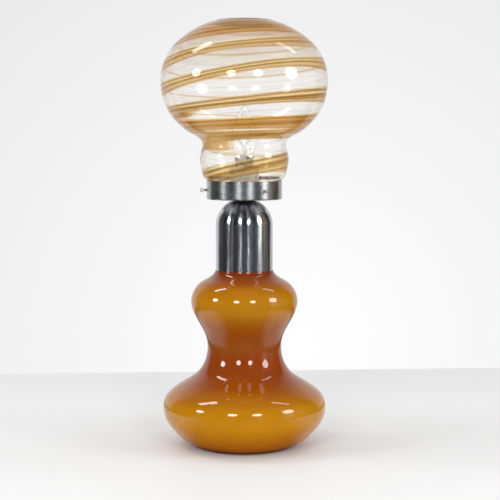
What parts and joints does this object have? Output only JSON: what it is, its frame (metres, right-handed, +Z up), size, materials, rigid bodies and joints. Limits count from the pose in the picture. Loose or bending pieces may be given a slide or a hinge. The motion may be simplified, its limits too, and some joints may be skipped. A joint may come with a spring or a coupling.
{
  "type": "table lamp",
  "caption": "Table lamp with an hourglass base of cased amber glass, a chrome neck cap, a steel gallery and a striped glass globe shade over a candle bulb.",
  "frame": {"origin": "centre of the foot, on the surface that the lamp stands on", "axes": "+Z up along the lamp's axis, -Y towards the viewer, +X to the viewer's right, flex outlet at +Y"},
  "size_m": [0.2264, 0.2264, 0.5801],
  "materials": {
    "amber_cased_glass": "deep amber glass cased over opal, glossy",
    "striped_glass": "clear blown glass with a trailed amber spiral, glossy",
    "chrome": "mirror chrome on spun steel",
    "gallery_steel": "dull chrome with a fine turned grain",
    "zinc_steel": "zinc-plated steel",
    "felt": "pressed felt",
    "rubber": "soft black rubber",
    "black_rubber": "moulded black rubber",
    "white_ceramic": "glazed white porcelain",
    "brass": "plain brass",
    "solder": "dull solder",
    "black_vitrite": "black insulating glass",
    "nickel": "nickel-plated brass",
    "bulb_glass": "clear glass",
    "filament_wire": "dark tungsten and nickel wire"
  },
  "bodies": {
    "stand": {"felt_pad": "felt", "bottom_plate": "zinc_steel", "centring_ring": "rubber", "bottom_washer": "zinc_steel", "bottom_nut": "zinc_steel", "threaded_rod": "zinc_steel", "base_glass_bowl": "amber_cased_glass", "base_glass_bulge": "amber_cased_glass", "base_glass_waist": "amber_cased_glass", "base_glass_shoulder": "amber_cased_glass", "cord_bush": "black_rubber", "neck_gasket": "rubber", "neck_plate": "zinc_steel", "neck_washer": "zinc_steel", "neck_nut": "zinc_steel", "chrome_cap": "chrome", "gallery_spacer": "zinc_steel", "gallery": "gallery_steel", "gallery_nut": "zinc_steel", "screw_nuts": "gallery_steel", "shade_seat_ring": "rubber", "lampholder_cap": "white_ceramic", "lampholder_sleeve": "white_ceramic", "lampholder_core": "white_ceramic", "lampholder_screw_shell": "brass", "lampholder_contact": "brass", "lampholder_terminals": "brass", "terminal_screws": "brass"},
    "shade": {"shade_neck": "striped_glass", "shade_collar": "striped_glass", "shade_globe": "striped_glass"},
    "bulb_carrier": {"bulb_tip_contact": "solder"},
    "bulb": {"bulb_insulator": "black_vitrite", "bulb_cap": "nickel", "bulb_glass": "bulb_glass", "bulb_stem": "bulb_glass", "bulb_filament": "filament_wire"},
    "screw_left": {"shade_screw_left": "gallery_steel"},
    "eye_left": {"screw_eye_left": "gallery_steel"},
    "screw_front": {"shade_screw_front": "gallery_steel"},
    "eye_front": {"screw_eye_front": "gallery_steel"},
    "screw_back": {"shade_screw_back": "gallery_steel"},
    "eye_back": {"screw_eye_back": "gallery_steel"}
  },
  "joints": [
    {"name": "shade_lift", "type": "slide", "parent": "stand", "child": "shade", "axis": [0, 0, 1], "range_m": [0, 0.16]},
    {"name": "bulb_travel", "type": "slide", "parent": "stand", "child": "bulb_carrier", "axis": [0, 0, 1], "range_m": [0, 0.0125]},
    {"name": "bulb_turn", "type": "hinge", "parent": "bulb_carrier", "child": "bulb", "pos_m": [0, 0, 0.38], "axis": [0, 0, 1], "range_deg": [0, 1224]},
    {"name": "screw_left_travel", "type": "slide", "parent": "stand", "child": "screw_left", "axis": [-0.9986, -0.0523, 0], "range_m": [0, 0.003]},
    {"name": "screw_left_turn", "type": "hinge", "parent": "screw_left", "child": "eye_left", "pos_m": [-0.05542, -0.00291, 0.35005], "axis": [-0.9986, -0.0523, 0], "range_deg": [0, 2170]},
    {"name": "screw_front_travel", "type": "slide", "parent": "stand", "child": "screw_front", "axis": [0.5446, -0.8387, 0], "range_m": [0, 0.003]},
    {"name": "screw_front_turn", "type": "hinge", "parent": "screw_front", "child": "eye_front", "pos_m": [0.03023, -0.04655, 0.35005], "axis": [0.5446, -0.8387, 0], "range_deg": [0, 2170]},
    {"name": "screw_back_travel", "type": "slide", "parent": "stand", "child": "screw_back", "axis": [0.454, 0.891, 0], "range_m": [0, 0.003]},
    {"name": "screw_back_turn", "type": "hinge", "parent": "screw_back", "child": "eye_back", "pos_m": [0.0252, 0.04945, 0.35005], "axis": [0.454, 0.891, 0], "range_deg": [0, 2170]}
  ],
  "couplings": [
    {"joint": "bulb_travel", "follows": "bulb_turn", "m_per_rad": 0.00057614},
    {"joint": "screw_left_turn", "follows": "screw_left_travel", "rad_per_m": 12566},
    {"joint": "screw_front_turn", "follows": "screw_front_travel", "rad_per_m": 12566},
    {"joint": "screw_back_turn", "follows": "screw_back_travel", "rad_per_m": 12566}
  ]
}
